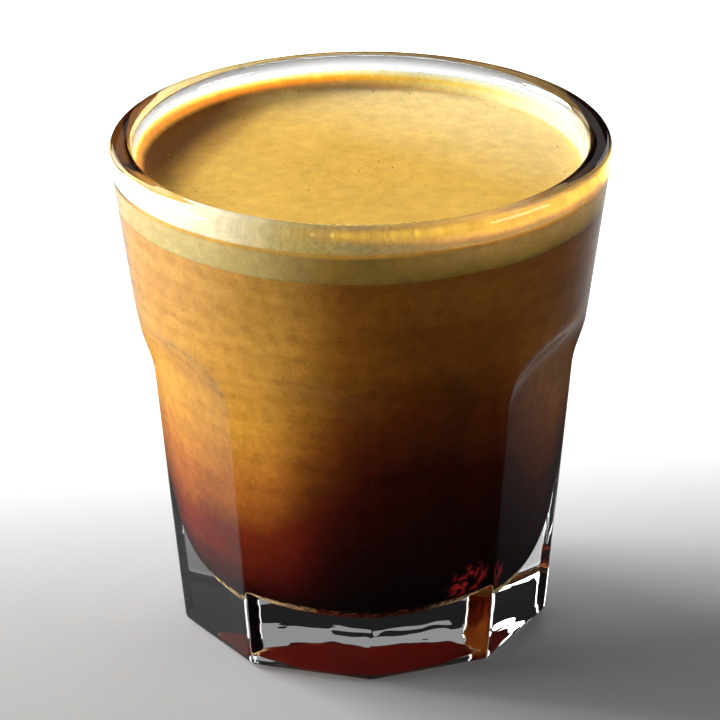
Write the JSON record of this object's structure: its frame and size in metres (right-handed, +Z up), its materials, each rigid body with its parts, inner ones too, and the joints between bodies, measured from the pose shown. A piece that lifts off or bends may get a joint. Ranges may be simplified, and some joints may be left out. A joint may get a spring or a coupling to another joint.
{
  "type": "double espresso",
  "caption": "Double espresso under golden crema in a small thick glass tumbler, its lower wall pressed into flat arch-topped panels.",
  "frame": {"origin": "centre of the ring under the foot, on the table", "axes": "+Z up along the glass's axis; an edge between two panels faces -Y"},
  "size_m": [0.0618, 0.0618, 0.063],
  "materials": {
    "glass": "clear pressed glass, fire-polished",
    "espresso": "brown coffee clouded with fine bubbles, darker towards the bottom",
    "crema": "fine golden foam"
  },
  "bodies": {
    "root": {"glass": "glass", "espresso": "espresso", "crema": "crema"}
  },
  "joints": []
}
